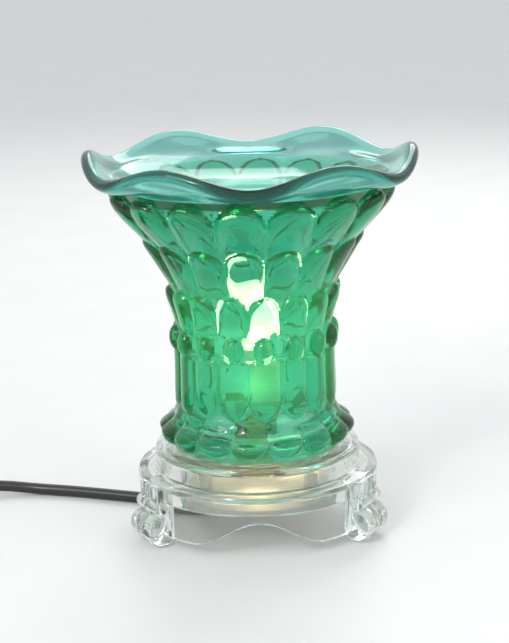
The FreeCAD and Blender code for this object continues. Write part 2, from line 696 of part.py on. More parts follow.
def shade_relief(turn, high):
    """How far the pattern stands out at a turn, in columns, and a height."""
    column = size("waist_radius") * 2 * math.pi / size("column_count")
    upper, lower = off_column(turn, upper_turn_share), off_column(turn, lower_turn_share)
    ribs = (("rib_high", upper, "top", "low"), ("rib_mid", upper, "top", "low"),
            ("rib_low", lower, "top", "low"), ("toe", upper, "low", "top"))
    reliefs = []
    for name, off, head, foot in ribs:
        ends = RELIEF[f"{name}_{head}"], RELIEF[f"{name}_{foot}"]
        reliefs.append(rib_relief(off, high, *ends, RELIEF[f"{name}_relief"], RELIEF[f"{name}_round"]))
    bead_half = RELIEF["bead_half_wide"] / column
    beyond = (high - RELIEF["bead_mid"]) / RELIEF["bead_half_tall"]
    reliefs.append(RELIEF["bead_relief"] * dome(lower / bead_half, beyond, rib_round_share))
    short = column * flute_end_share
    below = (RELIEF["flute_low"] - high) / RELIEF["flute_round"] + 1
    above = (high - RELIEF["flute_top"] + short) / short
    beyond = max(below, above, 0.0)
    reliefs.append(RELIEF["flute_relief"] * dome(lower / rib_half_share, beyond, rib_round_share))
    return max(reliefs)


RELIEF = {name: size(name) for name in SIZES if name.split("_")[0] in ("rib", "bead", "flute", "toe")}


def ring_point(radius, turn, high):
    """A point at a turn counted in columns from the front."""
    angle = 2 * math.pi * turn / size("column_count")
    return V(radius * math.sin(angle), -radius * math.cos(angle), high)


def level_edge(face, high):
    return min(face.Edges, key=lambda edge: max(abs(v.Z - high) for v in edge.Vertexes))


def make_shade():
    line, columns = shade_wall_line(), int(size("column_count"))
    low, top, wall = line[0][0], line[-1][0], size("shade_wall")
    inner_drop = wall * rim_drop_share
    high_count, turn_count = 75, 18
    outer_rows, inner_rows = [], []
    for i in range(turn_count + 1):
        turn = i / turn_count
        outer_rows.append([])
        inner_rows.append([])
        for j in range(high_count + 1):
            high = low + (top - low) * j / high_count
            radius = smooth_line(line, high) + shade_relief(turn, high)
            outer_rows[-1].append(ring_point(radius, turn, high))
            inner_high = low + (top - inner_drop - low) * j / high_count
            slack = wall * smooth_line(INNER_SHARES, (inner_high - low) / (top - inner_drop - low))
            inner = smooth_line(line, inner_high) - slack
            inner_rows[-1].append(ring_point(inner, turn, inner_high))
    outer, inner = skin(outer_rows), skin(inner_rows)
    rim = Part.makeRuledSurface(level_edge(outer, top), level_edge(inner, top - inner_drop))
    sole = Part.makeRuledSurface(level_edge(outer, low), level_edge(inner, low))
    sector = Part.makeCompound([outer, inner, rim, sole])
    return shaped("shade", closed_solid("shade", turned_faces(sector, columns)))


INNER_SHARES = [(0.0, 0.95), (0.08, 1.25), (0.2, 0.95), (0.4, 0.95), (0.62, 1.1), (0.75, 1.1), (0.9, 1.0),
                (1.0, 0.78)]
rim_drop_share = 0.56


def turned_faces(sector, count):
    """The faces of one sector repeated all the way round the axis."""
    faces = []
    for i in range(count):
        copy = sector.copy()
        copy.rotate(V(), UP, 360 * i / count)
        faces += copy.Faces
    return faces


# Dish: a shallow bowl whose lip rises and falls in six waves.


def dish_section(turn):
    """Points round the dish's section at a turn in waves: out below, round the lip and back above."""
    lip, lip_round = size("dish_lip_radius"), size("dish_lip_round")
    floor, middle = size("dish_floor_radius"), size("dish_floor_mid")
    wave = size("ruffle_tall") * math.cos(2 * math.pi * turn)
    rise, reach = size("dish_lip_high") - middle, lip - floor
    stations = [(floor + reach * out_share, middle + rise * up_share) for out_share, up_share in BOWL_SHARES]
    half = size("dish_wall") / 2
    count = 22
    below, above = [], []
    for i in range(count):
        share = i / count
        radius = floor + reach * share
        step = reach / count / 4
        slope = (smooth_line(stations, radius + step) - smooth_line(stations, radius - step)) / 2 / step
        lift = wave * ruffle_weight(share)
        lean = math.hypot(1, slope)
        off = half + (lip_round - half) * max(0.0, share - thick_share) / (1 - thick_share)
        if i == 0:
            slope = 0.0
        middle_high = smooth_line(stations, radius) + lift
        below.append((radius + off * slope / lean, middle_high - off / lean))
        above.append((radius - off * slope / lean, middle_high + off / lean))
    tip = size("dish_lip_high") + wave
    bend = []
    for i in range(9):
        angle = math.pi * (i / 8 - lip_start_share)
        bend.append((lip + lip_round * math.cos(angle), tip + lip_round * math.sin(angle)))
    return below + bend + above[::-1]


BOWL_SHARES = ((0.0, 0.0), (0.164, 0.019), (0.37, 0.082), (0.575, 0.277), (0.698, 0.497), (0.8, 0.648),
               (0.903, 0.775), (1.0, 1.0))
thick_share, lip_start_share, ruffle_start_share = 0.8, 0.33, 0.79


def ruffle_weight(share):
    u = max(0.0, (share - ruffle_start_share) / (1 - ruffle_start_share))
    return u * u * (3 - 2 * u)


def make_dish():
    waves, turn_count = int(size("ruffle_count")), 14
    rows = []
    for i in range(turn_count + 1):
        turn = i / turn_count
        angle = 2 * math.pi * turn / waves
        rows.append([V(r * math.cos(angle), r * math.sin(angle), z) for r, z in dish_section(turn)])
    wave = skin(rows)
    faces = turned_faces(wave, waves)
    half, middle = size("dish_wall") / 2, size("dish_floor_mid")
    for high in (middle - half, middle + half):
        edges = [level_edge(face, high) for face in faces[:waves]]
        faces.append(Part.Face(Part.Wire(Part.__sortEdges__(edges))))
    return shaped("dish", closed_solid("dish", faces))


# Cord: from the base to the dimmer, and from the dimmer to the coil of what is put away. The routes'
# points are picked by hand.

CORD_HIGH = size("cord_width / 2 + cord_lift")
EXIT_X, EXIT_Y = size("cord_reach * sin(-120)"), size("-cord_reach * cos(-120)")


def make_cord():
    high = size("sleeve_high")
    points = [
        V(EXIT_X, EXIT_Y, size("core_low")), V(EXIT_X, EXIT_Y, CORD_HIGH),
        V(size("cord_a_x"), size("cord_a_y"), CORD_HIGH), V(size("cord_b_x"), size("cord_b_y"), CORD_HIGH),
        V(size("cord_c_x"), size("cord_c_y"), CORD_HIGH), V(size("cord_d_x"), size("dimmer_y"), CORD_HIGH),
        V(size("cord_e_x"), size("dimmer_y"), high),
        V(size("dimmer_x + dimmer_long / 2 + sleeve_grip"), size("dimmer_y"), high),
    ]
    path, radii = bent_path(points)
    solid = along(path, size("cord_width"))
    report_tube("cord", path, solid, size("cord_width"), radii)
    return shaped("cord", solid)


def make_link():
    high, coil_high = size("sleeve_high"), CORD_HIGH + size("coil_lift")
    west = size("coil_x - coil_outer")
    points = [
        V(size("dimmer_x - dimmer_long / 2 - sleeve_grip"), size("dimmer_y"), high),
        V(size("link_a_x"), size("dimmer_y"), high), V(size("link_b_x"), size("link_b_y"), CORD_HIGH),
        V(west, size("link_c_y"), coil_high),
        V(west, size("coil_y + cord_width"), coil_high),
    ]
    path, radii = bent_path(points)
    solid = along(path, size("cord_width"))
    report_tube("cord_link", path, solid, size("cord_width"), radii)
    return shaped("cord_link", solid)


def curl(middle, radius, start, turn):
    """A flat arc about a centre from one angle through a turn, in degrees."""
    points = []
    for share in (0, 0.5, 1):
        angle = math.radians(start + turn * share)
        points.append(middle + V(radius * math.cos(angle), radius * math.sin(angle), 0))
    return Part.Arc(*points).toShape(), points[2]


def corner_arc(start, corner, end):
    """The arc that leaves one point and reaches another, both the same way off from a corner."""
    back, ahead = (start - corner).normalize(), (end - corner).normalize()
    half_turn = (math.pi - back.getAngle(ahead)) / 2
    radius = (start - corner).Length / math.tan(half_turn)
    nearest = corner + (back + ahead).normalize() * (radius / math.cos(half_turn) - radius)
    return Part.Arc(start, nearest, end).toShape()


end_straights = 4


def make_coil():
    """Three turns inward on the table, half a turn up, and the rest outward on top."""
    step, outer = size("coil_step"), size("coil_outer")
    low = CORD_HIGH + size("coil_lift")
    radius, angle = outer, 180.0
    middle = V(size("coil_x"), size("coil_y"), low)
    straight = size("cord_width")
    at = middle + V(-radius, 0, 0)
    edges = [Part.LineSegment(at + V(0, straight, 0), at).toShape()]
    for i in range(12):
        arc, at = curl(middle, radius, angle, 90)
        edges.append(arc)
        angle += 90
        inward = V(math.cos(math.radians(angle)), math.sin(math.radians(angle)), 0) * (step / 4)
        middle = middle + inward
        radius -= step / 4
    rise = size("cord_width + layer_gap")
    across = V(2 * radius, 0, rise)
    reach = across.Length / 2
    before, after = at - BACK * reach, at + across - BACK * reach
    halfway = (before + after) * 0.5
    edges += [corner_arc(at, before, halfway), corner_arc(halfway, after, at + across)]
    at = at + across
    angle = 0.0
    for i in range(11):
        radius += step / 4
        outward = V(math.cos(math.radians(angle)), math.sin(math.radians(angle)), 0)
        arc, at = curl(at - outward * radius, radius, angle, 90)
        edges.append(arc)
        angle += 90
    end = at + ACROSS * (straight * end_straights)
    edges.append(Part.LineSegment(at, end).toShape())
    path = Part.Wire(edges)
    solid = along(path, size("cord_width"))
    report_tube("cord_coil", path, solid, size("cord_width"))
    print(f"cord_coil: least gap to itself {least_gap(path, size('cord_width')):.2f}")
    return shaped("cord_coil", solid), end


def least_gap(path, width):
    """The least distance between stretches of a path that aren't neighbours, less its width."""
    points, step = [], width / 3
    for edge in path.OrderedEdges:
        points += edge.discretize(max(3, int(edge.Length / step)))[:-1]
    runs, so_far = [0.0], 0.0
    for one, other in zip(points, points[1:]):
        so_far += (other - one).Length
        runs.append(so_far)
    least = width * 9
    for i, one in enumerate(points):
        for j in range(i + 6, len(points)):
            if runs[j] - runs[i] > width * 3:
                least = min(least, (points[j] - one).Length)
    return least - width


def make_tie():
    """A flat band round all the coil's turns on the side towards the lamp."""
    wall, slack = "tie_thick", "slip_gap * 2"
    reach = f"3.25 * coil_step + cord_width + 2 * {slack} + 2 * {wall}"
    middle = f"coil_x + coil_outer - 1.625 * coil_step + {slack}"
    tall = f"2 * cord_width + layer_gap + 2 * {slack} + 2 * {wall}"
    base = f"cord_lift + coil_lift - {slack} - {wall}"
    outside = box("tie_outside", reach, "tie_wide", tall, middle, "coil_y", base)
    inside = box("tie_inside", f"{reach} - 2 * {wall}", "tie_wide + 2 * overrun", f"{tall} - 2 * {wall}", middle,
                 "coil_y", f"{base} + {wall}")
    return less("coil_tie", outside, inside)


# Dimmer on the cord: two shells, a thumb wheel on a small circuit board, and two strain reliefs.


def make_dimmer_base():
    x, y = "dimmer_x", "dimmer_y"
    block = box("dimmer_low_box", "dimmer_long", "dimmer_wide", "dimmer_split", x, y)
    outside = eased("dimmer_low_outside", block, "shell_corner", "shell_round", "dimmer_split")
    inside = box("dimmer_low_room", "dimmer_long - 2 * dimmer_wall", "dimmer_wide - 2 * dimmer_wall",
                 "dimmer_split", x, y, "dimmer_wall")
    posts = [
        box(f"board_post_{i}", "board_long / 6", "board_wide - 2 * dimmer_wall", "board_low - dimmer_wall",
            f"dimmer_x + {side} * board_long / 3", y, "dimmer_wall")
        for i, side in enumerate((-1, 1))
    ]
    bosses, holes = [], []
    for i, side in enumerate((-1, 1)):
        at = f"dimmer_x + {side} * dimmer_screw_reach"
        by = f"dimmer_y + {side} * dimmer_screw_side"
        bosses.append(cylinder(f"low_boss_{i}", "dimmer_boss", "dimmer_split - dimmer_wall / 2", at, by,
                               "dimmer_wall / 2"))
        holes.append(cylinder(f"low_hole_{i}", "dimmer_screw + slip_gap", "dimmer_split + 2 * overrun", at, by,
                              "-overrun"))
        holes.append(cylinder(f"low_bore_{i}", "dimmer_screw * 2 + slip_gap", "dimmer_wall / 2 + overrun", at, by,
                              "-overrun"))
    grooves = sleeve_grooves("low")
    hollow = less("dimmer_low_shell", outside, inside)
    return less("dimmer_base", joined("dimmer_low_blank", hollow, *posts, *bosses), *holes, *grooves)


def sleeve_grooves(name):
    """The round openings in both ends where the strain reliefs are held."""
    return [
        cylinder(f"{name}_groove_{i}", "sleeve_neck", "4 * dimmer_wall",
                 f"dimmer_x + {side} * dimmer_long / 2 - 2 * dimmer_wall", "dimmer_y", "sleeve_high",
                 (BACK, 90))
        for i, side in enumerate((-1, 1))
    ]


def make_dimmer_cover():
    x, y, tall = "dimmer_x", "dimmer_y", "dimmer_tall - dimmer_split"
    block = box("dimmer_top_box", "dimmer_long", "dimmer_wide", tall, x, y, "dimmer_split")
    outside = eased("dimmer_top_outside", block, "shell_corner", "shell_round", "dimmer_split")
    inside = box("dimmer_top_room", "dimmer_long - 2 * dimmer_wall", "dimmer_wide - 2 * dimmer_wall",
                 tall, x, y, "dimmer_split - dimmer_wall")
    bosses, holes = [], []
    for i, side in enumerate((-1, 1)):
        at = f"dimmer_x + {side} * dimmer_screw_reach"
        by = f"dimmer_y + {side} * dimmer_screw_side"
        bosses.append(cylinder(f"top_boss_{i}", "dimmer_boss", f"{tall} - dimmer_wall / 2", at, by,
                               "dimmer_split"))
        holes.append(cylinder(f"top_hole_{i}", "dimmer_screw", "dimmer_screw_long - dimmer_split + slip_gap",
                              at, by, "dimmer_split"))
    slot = box("wheel_slot", "2 * wheel_radius + 2 * slip_gap", "dimmer_wide",
               "wheel_thick + 4 * slip_gap", x, f"{y} - dimmer_wide / 2",
               "wheel_low - 2 * slip_gap")
    hollow = less("dimmer_top_shell", outside, inside)
    return less("dimmer_cover", joined("dimmer_top_blank", hollow, *bosses), *holes, slot)


def make_wheel():
    x, y = "dimmer_x", "dimmer_y - wheel_off"
    disc = cylinder("wheel_disc", "wheel_radius", "wheel_thick", x, y, "wheel_low")
    tall = "wheel_low - board_low - board_thick - slip_gap + overrun / 2"
    shaft = cylinder("wheel_shaft", "shaft_radius", tall, x, y, "board_low + board_thick + slip_gap")
    teeth = []
    count = 24
    for i in range(count):
        turn = 360 * i / count
        teeth.append(cylinder(
            f"wheel_notch_{i}", "wheel_radius / 18", "wheel_thick + 2 * overrun",
            f"{x} + wheel_radius * cos({turn})", f"{y} + wheel_radius * sin({turn})", "wheel_low - overrun",
        ))
    return less("dimmer_wheel", joined("wheel_blank", disc, shaft), *teeth)


def make_circuit():
    x, y = "dimmer_x", "dimmer_y"
    board = box("circuit_board", "board_long", "board_wide", "board_thick", x, y, "board_low")
    pot = cylinder("control_body", "pot_radius", "pot_tall", x, f"{y} - wheel_off", "board_low + board_thick")
    bore = cylinder("control_bore", "shaft_radius + running_gap", "pot_tall + overrun", x, f"{y} - wheel_off",
                    "board_low + board_thick")
    switch = box("power_switch", "board_long / 5", "board_wide / 3", "pot_tall", f"{x} + board_long * 0.34",
                 f"{y} + board_wide / 6", "board_low + board_thick")
    coil = cylinder("noise_coil", "board_wide / 6", "pot_tall", f"{x} - board_long * 0.36",
                    f"{y} + board_wide / 5", "board_low + board_thick")
    return less("dimmer_circuit", joined("circuit_blank", board, pot, switch, coil), bore)


def make_dimmer_screws():
    screws = []
    for i, side in enumerate((-1, 1)):
        at = f"dimmer_x + {side} * dimmer_screw_reach"
        by = f"dimmer_y + {side} * dimmer_screw_side"
        head = cylinder(f"dimmer_screw_head_{i}", "dimmer_screw * 2", "dimmer_wall / 2 - slip_gap", at, by,
                        "slip_gap")
        shank = cylinder(f"dimmer_screw_shank_{i}", "dimmer_screw", "dimmer_screw_long - dimmer_wall / 2", at,
                         by, "dimmer_wall / 2")
        screws.append(joined(f"dimmer_screw_{i}", head, shank))
    return group("dimmer_screws", *screws)


def make_reliefs():
    """Tapered rubber sleeves that grip the cord where it enters the dimmer."""
    sleeves = []
    for i, side in enumerate((-1, 1)):
        turn = (BACK, 90 * side)
        end = f"dimmer_x + {side} * dimmer_long / 2"
        spout = cone(f"relief_spout_{i}", "sleeve_radius", "sleeve_tip", "sleeve_long", end, "dimmer_y",
                     "sleeve_high", turn)
        neck = cylinder(f"relief_neck_{i}", "sleeve_neck - slip_gap", "dimmer_wall + overrun",
                        f"{end} - {side} * (dimmer_wall + overrun / 2)", "dimmer_y", "sleeve_high", turn)
        bore = cylinder(f"relief_bore_{i}", "cord_width / 2", "sleeve_long", f"{end} + {side} * sleeve_grip",
                        "dimmer_y", "sleeve_high", turn)
        sleeves.append(less(f"relief_{i}", joined(f"relief_blank_{i}", spout, neck), bore))
    return group("cord_reliefs", *sleeves)


# Plug on the cord's end.


def make_plug(at):
    """The moulded plug with its tapered sleeve, and its two flat blades."""
    high, y = f"{CORD_HIGH} + coil_lift + cord_width + layer_gap", f"{at.y}"
    start = f"{at.x}"
    sleeve = cone("plug_sleeve", "sleeve_tip", "plug_sleeve_radius", "plug_sleeve_long", start, y, high,
                  (BACK, 90))
    block = box("plug_block", "plug_long", "plug_wide", f"2 * ({high} - cord_lift)",
                f"{start} + plug_sleeve_long + plug_long / 2", y, "cord_lift")
    body = eased("plug_outside", block, "plug_corner", "plug_round")
    grips = [
        box(f"plug_grip_{side}_{i}", "grip_wide", "2 * grip_deep", f"2 * ({high} - cord_lift - plug_round)",
            f"{start} + plug_sleeve_long + plug_corner + {i + 1} * (plug_long - 2 * plug_corner) / 5",
            f"{y} + {side} * plug_wide / 2", "cord_lift + plug_round")
        for side in (-1, 1) for i in range(4)
    ]
    blades = [
        box(f"blade_{i}", "blade_long + overrun", "blade_thick", "blade_tall",
            f"{start} + plug_sleeve_long + plug_long + blade_long / 2 - overrun / 2",
            f"{y} + {side} * blade_reach", f"{high} - blade_tall / 2")
        for i, side in enumerate((-1, 1))
    ]
    pockets = [
        box(f"blade_pocket_{i}", "2 * overrun", "blade_thick", "blade_tall",
            f"{start} + plug_sleeve_long + plug_long", f"{y} + {side} * blade_reach", f"{high} - blade_tall / 2")
        for i, side in enumerate((-1, 1))
    ]
    moulding = less("plug_body", joined("plug_blank", sleeve, body), *pockets, *grips)
    return moulding, group("plug_blades", *blades)


cord_end_solid, coil_end = make_coil()
plug_body, plug_blades = make_plug(coil_end)
nodes = [
    make_dish(), make_shade(), make_base(), make_foot_pads(), make_cover(), make_cover_screws(),
    make_grommet(), make_tube(), make_nuts(), make_washer(), make_bracket(), make_holder(),
    make_holder_screws(), make_contacts(), make_envelope(), make_filament(), make_pins(), make_leads(),
    make_splices(), make_cores(), make_cord(), make_link(), cord_end_solid, make_tie(), make_dimmer_base(),
    make_dimmer_cover(), make_wheel(), make_circuit(), make_dimmer_screws(), make_reliefs(), plug_body,
    plug_blades,
]
doc.recompute()

failed = [
    item.Label for item in doc.Objects
    if any(mark in item.State for mark in ("Invalid", "Error"))
    or hasattr(item, "Shape") and (item.Shape.isNull() or not item.Shape.isValid())
]
if failed:
    raise RuntimeError(f"not sound: {failed}")

os.makedirs("parts", exist_ok=True)
for node in nodes:
    solids = node.Shape.Solids
    bounds = node.Shape.optimalBoundingBox(True, False)
    print(f"{node.Label:16} solids {len(solids)} volume {node.Shape.Volume:10.1f}",
          f"x {bounds.XMin:7.1f} {bounds.XMax:7.1f} y {bounds.YMin:7.1f} {bounds.YMax:7.1f}",
          f"z {bounds.ZMin:6.2f} {bounds.ZMax:6.2f}")
    if not solids:
        raise RuntimeError(f"no solid in {node.Label}")
    node.Shape.exportStep(f"parts/{node.Label}.step")
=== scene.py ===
import json
import math

import bpy
from mathutils import Euler, Matrix, Vector

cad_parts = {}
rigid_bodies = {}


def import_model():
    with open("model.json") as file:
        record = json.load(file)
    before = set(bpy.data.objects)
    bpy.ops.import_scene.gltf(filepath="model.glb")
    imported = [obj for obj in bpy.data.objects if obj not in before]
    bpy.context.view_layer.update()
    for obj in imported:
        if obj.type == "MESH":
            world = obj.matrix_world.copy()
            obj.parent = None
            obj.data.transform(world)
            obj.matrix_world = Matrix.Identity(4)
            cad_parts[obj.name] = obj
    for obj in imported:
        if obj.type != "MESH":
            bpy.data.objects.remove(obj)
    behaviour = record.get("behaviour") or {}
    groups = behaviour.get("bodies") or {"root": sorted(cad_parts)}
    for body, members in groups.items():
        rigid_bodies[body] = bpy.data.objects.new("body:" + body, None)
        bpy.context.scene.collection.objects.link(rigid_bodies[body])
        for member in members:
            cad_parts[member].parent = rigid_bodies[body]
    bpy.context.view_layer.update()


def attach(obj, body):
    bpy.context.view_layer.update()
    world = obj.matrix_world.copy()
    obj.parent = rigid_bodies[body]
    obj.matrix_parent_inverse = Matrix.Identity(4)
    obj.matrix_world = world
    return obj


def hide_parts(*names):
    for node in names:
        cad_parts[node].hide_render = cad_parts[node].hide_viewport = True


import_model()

# The lamp stands on z = 0 with its axis through the origin, and its front is towards -Y. Sizes are in
# metres, written through this factor from millimetres.
MM = 0.001
# The camera comes from a fit of the photo's round rims, tiers and feet.
VIEW_LENS = 98.54
VIEW_SENSOR = 36.0
VIEW_DISTANCE = 0.7847
VIEW_RISE = math.radians(13.797)
VIEW_ROLL = math.radians(-1.532)
VIEW_AIM = Vector((0.00018, 0, 0.0929))


def deselect():
    for item in bpy.context.selected_objects:
        item.select_set(False)


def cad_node(name):
    """A node of the CAD part, by its name."""
    return next(item for item in bpy.data.objects if item.name.split(".")[0] == name)


def make_camera():
    bpy.ops.object.camera_add()
    camera = bpy.context.object
    camera.name = "view"
    turn = Euler((math.pi / 2 - VIEW_RISE, 0, 0)).to_matrix() @ Matrix.Rotation(VIEW_ROLL, 3, "Z")
    camera.rotation_euler = turn.to_euler()
    camera.location = VIEW_AIM + Vector((0, -math.cos(VIEW_RISE), math.sin(VIEW_RISE))) * VIEW_DISTANCE
    camera.data.lens = VIEW_LENS
    camera.data.sensor_width = VIEW_SENSOR
    bpy.context.scene.camera = camera


# Materials


def new_material(name):
    material = bpy.data.materials.new(name)
    material.use_nodes = True
    tree = material.node_tree
    return material, tree.nodes, tree.links, tree.nodes["Principled BSDF"]


def bumped(nodes, links, shader, scale, strength, distance=0.0002, detail=3.0):
    """Fine unevenness in a surface."""
    noise = nodes.new("ShaderNodeTexNoise")
    noise.inputs["Scale"].default_value = scale
    noise.inputs["Detail"].default_value = detail
    place = nodes.new("ShaderNodeTexCoord")
    links.new(place.outputs["Object"], noise.inputs["Vector"])
    bump = nodes.new("ShaderNodeBump")
    bump.inputs["Strength"].default_value = strength
    bump.inputs["Distance"].default_value = distance
    links.new(noise.outputs["Fac"], bump.inputs["Height"])
    links.new(bump.outputs["Normal"], shader.inputs["Normal"])
    return noise


def varied(nodes, links, noise, socket, low, high, start=0.35, end=0.65):
    """A colour or a value that drifts between two over a surface."""
    ramp = nodes.new("ShaderNodeValToRGB")
    ramp.color_ramp.elements[0].position = start
    ramp.color_ramp.elements[1].position = end
    ramp.color_ramp.elements[0].color = low
    ramp.color_ramp.elements[1].color = high
    links.new(noise.outputs["Fac"], ramp.inputs["Fac"])
    links.new(ramp.outputs["Color"], socket)


def glass(name, tint, deep, rough=0.02, ior=1.49, wave=0.05):
    """Glass whose tint drifts a little, with a faint waviness."""
    material, nodes, links, shader = new_material(name)
    shader.inputs["Transmission Weight"].default_value = 1.0
    shader.inputs["Roughness"].default_value = rough
    shader.inputs["IOR"].default_value = ior
    noise = bumped(nodes, links, shader, 45.0, wave, 0.0006, 2.0)
    varied(nodes, links, noise, shader.inputs["Base Color"], (*deep, 1), (*tint, 1))
    return material


def deep_glass(name, tint, deep, left, density, milk, milk_share, rough=0.03, wave=0.08):
    """Thick glass that darkens with its depth, a little milky where the lamp lights it."""
    material = glass(name, tint, deep, rough=rough, wave=wave)
    nodes, links = material.node_tree.nodes, material.node_tree.links
    scatter = nodes.new("ShaderNodeBsdfTranslucent")
    scatter.inputs["Color"].default_value = (*milk, 1)
    mix = nodes.new("ShaderNodeMixShader")
    mix.inputs["Fac"].default_value = milk_share
    links.new(nodes["Principled BSDF"].outputs["BSDF"], mix.inputs[1])
    links.new(scatter.outputs["BSDF"], mix.inputs[2])
    links.new(mix.outputs["Shader"], nodes["Material Output"].inputs["Surface"])
    depth = nodes.new("ShaderNodeVolumeAbsorption")
    depth.inputs["Color"].default_value = (*left, 1)
    depth.inputs["Density"].default_value = density
    links.new(depth.outputs["Volume"], nodes["Material Output"].inputs["Volume"])
    return material


def solid(name, color, other, rough, metal=0.0, grain=900.0, strength=0.15, coat=0.0):
    """An opaque surface with a fine grain and a slight drift of colour."""
    material, nodes, links, shader = new_material(name)
    shader.inputs["Metallic"].default_value = metal
    shader.inputs["Coat Weight"].default_value = coat
    noise = bumped(nodes, links, shader, grain, strength, 0.00005)
    varied(nodes, links, noise, shader.inputs["Base Color"], (*color, 1), (*other, 1))
    varied(nodes, links, noise, shader.inputs["Roughness"], (rough, rough, rough, 1),
           (rough * 1.4, rough * 1.4, rough * 1.4, 1))
    return material


CORD_GROOVES, GROOVE_SHARE = 2.0, 0.14


def twin_cord(name):
    """The black cover of a flat twin cord: a groove runs along it between its two cores."""
    material = solid(name, (0.012, 0.012, 0.012), (0.02, 0.019, 0.017), 0.3, grain=1500.0, coat=0.2)
    nodes, links = material.node_tree.nodes, material.node_tree.links
    place, parts = nodes.new("ShaderNodeTexCoord"), nodes.new("ShaderNodeSeparateXYZ")
    links.new(place.outputs["UV"], parts.inputs["Vector"])
    turn, ridge = nodes.new("ShaderNodeMath"), nodes.new("ShaderNodeMath")
    turn.operation, ridge.operation = "MULTIPLY", "PINGPONG"
    turn.inputs[1].default_value = CORD_GROOVES
    ridge.inputs[1].default_value = 0.5
    links.new(parts.outputs["Y"], turn.inputs[0])
    links.new(turn.outputs[0], ridge.inputs[0])
    groove = nodes.new("ShaderNodeMapRange")
    groove.inputs["From Max"].default_value = GROOVE_SHARE
    links.new(ridge.outputs[0], groove.inputs["Value"])
    bump = nodes.new("ShaderNodeBump")
    bump.inputs["Distance"].default_value = 0.0012
    links.new(groove.outputs["Result"], bump.inputs["Height"])
    links.new(bump.outputs["Normal"], nodes["Principled BSDF"].inputs["Normal"])
    return material


def lit(material, color, strength):
    """Makes a material shine by itself."""
    shader = material.node_tree.nodes["Principled BSDF"]
    shader.inputs["Emission Color"].default_value = color
    shader.inputs["Emission Strength"].default_value = strength


def glowing(name, color, strength):
    """A hot wire."""
    material, nodes, links, shader = new_material(name)
    noise = bumped(nodes, links, shader, 3000.0, 0.3, 0.00004)
    varied(nodes, links, noise, shader.inputs["Base Color"], (0.5, 0.4, 0.25, 1), (0.7, 0.55, 0.3, 1))
    lit(material, color, strength)
    return material


# Meshes from a section carried round the lamp's axis


DOUBLES_WITHIN = 0.000005
SKIN_SMOOTH = math.radians(40)


def swept(name, section, turns, closed):
    """A closed skin whose section, a list of radius and height pairs, changes with the turn."""
    rings = [section(i / turns) for i in range(turns)]
    count = len(rings[0])
    deselect()
    rows = count if closed else count - 1
    bpy.ops.mesh.primitive_grid_add(x_subdivisions=turns, y_subdivisions=rows, size=1)
    item = bpy.context.object
    item.name = name
    columns = turns + 1
    for index, vertex in enumerate(item.data.vertices):
        row, column = divmod(index, columns)
        radius, high = rings[column % turns][row % count]
        angle = 2 * math.pi * column / turns
        vertex.co = (radius * math.sin(angle), -radius * math.cos(angle), high)
    bpy.ops.object.mode_set(mode="EDIT")
    bpy.ops.mesh.select_all(action="SELECT")
    bpy.ops.mesh.remove_doubles(threshold=DOUBLES_WITHIN)
    bpy.ops.mesh.normals_make_consistent(inside=False)
    bpy.ops.object.mode_set(mode="OBJECT")
    bpy.ops.object.shade_smooth_by_angle(angle=SKIN_SMOOTH)
    return item


def smooth_line(stations, at):
    """A smooth line without overshoot through stations of place and value."""
    if at <= stations[0][0]:
        return stations[0][1]
    if at >= stations[-1][0]:
        return stations[-1][1]
    slopes = [(b[1] - a[1]) / (b[0] - a[0]) for a, b in zip(stations, stations[1:])]
    tangents = [slopes[0]]
    for one, other in zip(slopes, slopes[1:]):
        tangents.append(0 if one * other <= 0 else 2 * one * other / (one + other))
    tangents.append(slopes[-1])
    for i, (a, b) in enumerate(zip(stations, stations[1:])):
        if at <= b[0]:
            span = b[0] - a[0]
            u = (at - a[0]) / span
            return (
                (1 + 2 * u) * (1 - u) ** 2 * a[1] + u * (1 - u) ** 2 * span * tangents[i]
                + u ** 2 * (3 - 2 * u) * b[1] + u ** 2 * (u - 1) * span * tangents[i + 1]
            )


# Shade

COLUMNS = 16
SHADE_LOW, SHADE_TOP = 38.3 * MM, 157.0 * MM
SHADE_LINE = [(z * MM, r * MM) for z, r in (
    (38.3, 37.6), (46.7, 41.0), (52.1, 36.2), (57.1, 35.3), (63.0, 34.4), (79.9, 34.1), (96.8, 34.7),
    (111.9, 36.9), (120.0, 39.9), (127.5, 43.1), (134.4, 47.9), (142.5, 53.1), (151.0, 58.0),
    (155.1, 60.5), (157.0, 61.7))]
SHADE_WALL = 4.4 * MM
WALL_SHARES = [(0.0, 0.95), (0.08, 1.25), (0.2, 0.95), (0.4, 0.95), (0.62, 1.1), (0.75, 1.1), (0.9, 1.0),
               (1.0, 0.78)]
UPPER_TURN, LOWER_TURN = -0.22, 0.30
# Each kind of rib: its turn, its round head, where it fades out, how far it stands out, its head's height.
RIBS = [(turn, head * MM, foot * MM, out * MM, tall * MM) for turn, head, foot, out, tall in (
    (UPPER_TURN, 155.0, 129.0, 7.5, 11.5), (UPPER_TURN, 134.4, 109.0, 5.1, 10.0),
    (LOWER_TURN, 111.8, 92.0, 4.3, 8.5), (UPPER_TURN, 40.5, 58.0, 4.7, 8.0))]
RIB_HALF = 0.49
BEAD_MIDDLE, BEAD_TALL, BEAD_WIDE, BEAD_OUT = 87.8 * MM, 6.0 * MM, 0.34, 3.9 * MM
FLUTE_LOW, FLUTE_TOP, FLUTE_ROUND, FLUTE_END, FLUTE_OUT = 57.0 * MM, 84.0 * MM, 8.0 * MM, 2.7 * MM, 2.0 * MM
# Thin rings round the shade: their height, half height and relief.
RINGS = [(84.6 * MM, 1.2 * MM, 1.0 * MM), (53.4 * MM, 1.5 * MM, 0.9 * MM)]
SHADE_OUTER_ROWS, SHADE_INNER_ROWS, STEPS_PER_COLUMN = 170, 50, 20
MOUTH_SLOPE = 0.56


